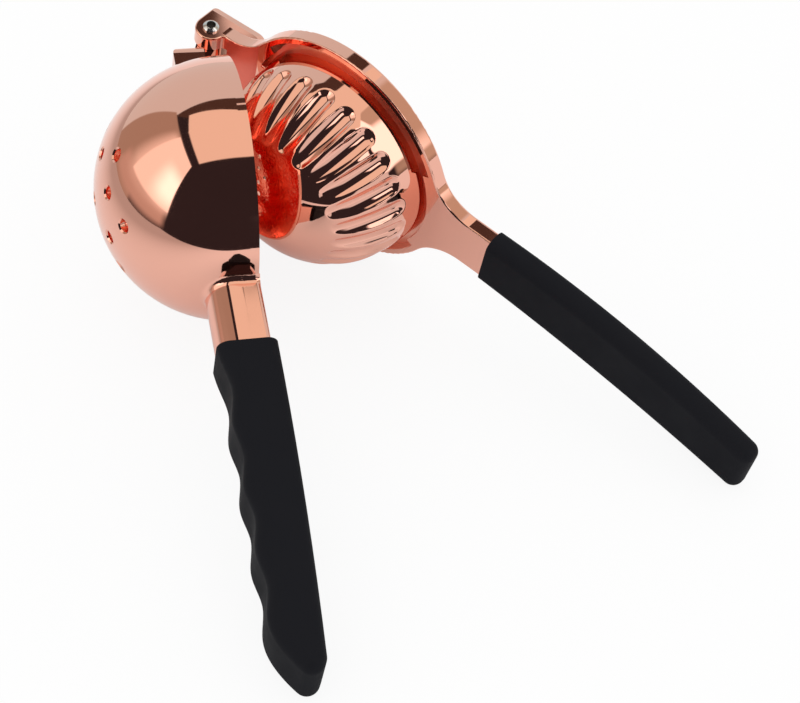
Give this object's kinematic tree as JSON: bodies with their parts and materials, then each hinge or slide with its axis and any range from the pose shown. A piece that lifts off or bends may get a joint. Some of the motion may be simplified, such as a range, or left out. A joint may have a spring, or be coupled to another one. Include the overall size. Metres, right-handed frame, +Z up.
{
  "type": "hand citrus press",
  "caption": "Hinged hand citrus press lying open: a perforated hemispherical bowl and a fluted press dome, each on a plated arm with a soft dark grip.",
  "frame": {"origin": "middle of the bounding box, on the table that the open press lies on", "axes": "+Z up from the table, -Y roughly from the hinge to the handle tips, +X roughly out of the bowl's mouth"},
  "size_m": [0.1726, 0.2191, 0.0781],
  "materials": {
    "rose_plate": "cast aluminium, mirror-polished with a rose-gold plate",
    "bolt_steel": "bright steel",
    "grip_black": "matte black moulded rubber"
  },
  "bodies": {
    "bowl": {"bowl_arm": "rose_plate", "lower_grip": "grip_black"},
    "press": {"press_arm": "rose_plate", "upper_grip": "grip_black", "hinge_barrel": "bolt_steel", "hinge_screw": "bolt_steel"}
  },
  "joints": [
    {"name": "press_hinge", "type": "hinge", "parent": "bowl", "child": "press", "pos_m": [-0.04473, 0.09996, 0.04905], "axis": [0.0734, -0.1892, 0.9792], "range_deg": [-36.6, 82]}
  ]
}
